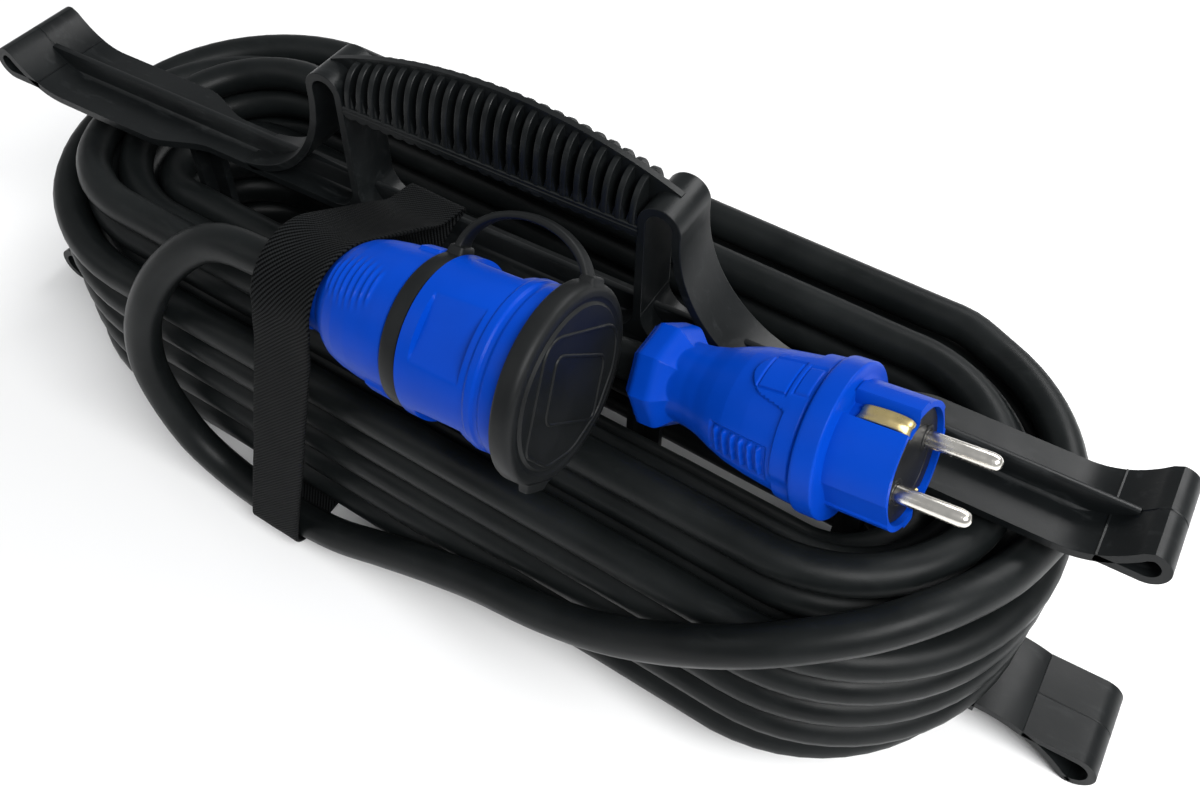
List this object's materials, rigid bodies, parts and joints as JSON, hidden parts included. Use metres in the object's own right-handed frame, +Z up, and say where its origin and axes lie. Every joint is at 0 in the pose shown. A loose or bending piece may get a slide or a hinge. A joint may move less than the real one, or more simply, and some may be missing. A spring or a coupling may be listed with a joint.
{
  "type": "shore power cord",
  "caption": "Heavy rubber power cord wound on an H-shaped carrying frame with a ribbed grip, with a plug and a capped socket held by a strap.",
  "frame": {"origin": "on the ground under the middle of the carrying frame", "axes": "+X along the frame towards the plug, +Y away from the socket's side, +Z up to the grip"},
  "size_m": [0.4732, 0.1705, 0.18],
  "materials": {
    "moulding": "moulded, slightly worn satin",
    "sheath": "matt rubber sheath",
    "webbing": "woven polyester webbing",
    "blue_rubber": "smooth satin rubber",
    "black_rubber": "smooth satin rubber",
    "insert": "moulded black",
    "brass": "bright sprung brass",
    "nickel": "nickel plate",
    "cores": "coloured core insulation"
  },
  "bodies": {
    "holder": {"frame_top_bar": "moulding", "frame_bottom_bar": "moulding", "frame_grip": "moulding", "frame_leg_left": "moulding", "frame_leg_right": "moulding", "frame_post_left": "moulding", "frame_post_right": "moulding", "frame_core_left": "moulding", "frame_core_right": "moulding", "cord_coil": "sheath", "socket_lead": "sheath", "plug_lead": "sheath", "strap": "webbing", "socket_body": "blue_rubber", "socket_insert": "insert", "socket_contacts": "brass", "socket_earth_clips": "brass", "socket_terminal_screws": "nickel", "socket_cord_clamp": "insert", "socket_clamp_screws": "nickel", "socket_centre_screw": "nickel", "socket_cores": "cores", "cap_ring": "black_rubber", "cap_tether": "black_rubber", "plug_body": "blue_rubber", "plug_insert": "insert", "plug_pins": "nickel", "plug_earth_contacts": "brass", "plug_terminal_screws": "nickel", "plug_cord_clamp": "insert", "plug_clamp_screws": "nickel", "plug_cores": "cores"},
    "cap": {"cap": "black_rubber"}
  },
  "joints": [
    {"name": "cap_pull", "type": "slide", "parent": "holder", "child": "cap", "axis": [0.997, -0.0122, 0.0767], "range_m": [0, 0.0028], "deforming": ["cap_tether"]}
  ]
}
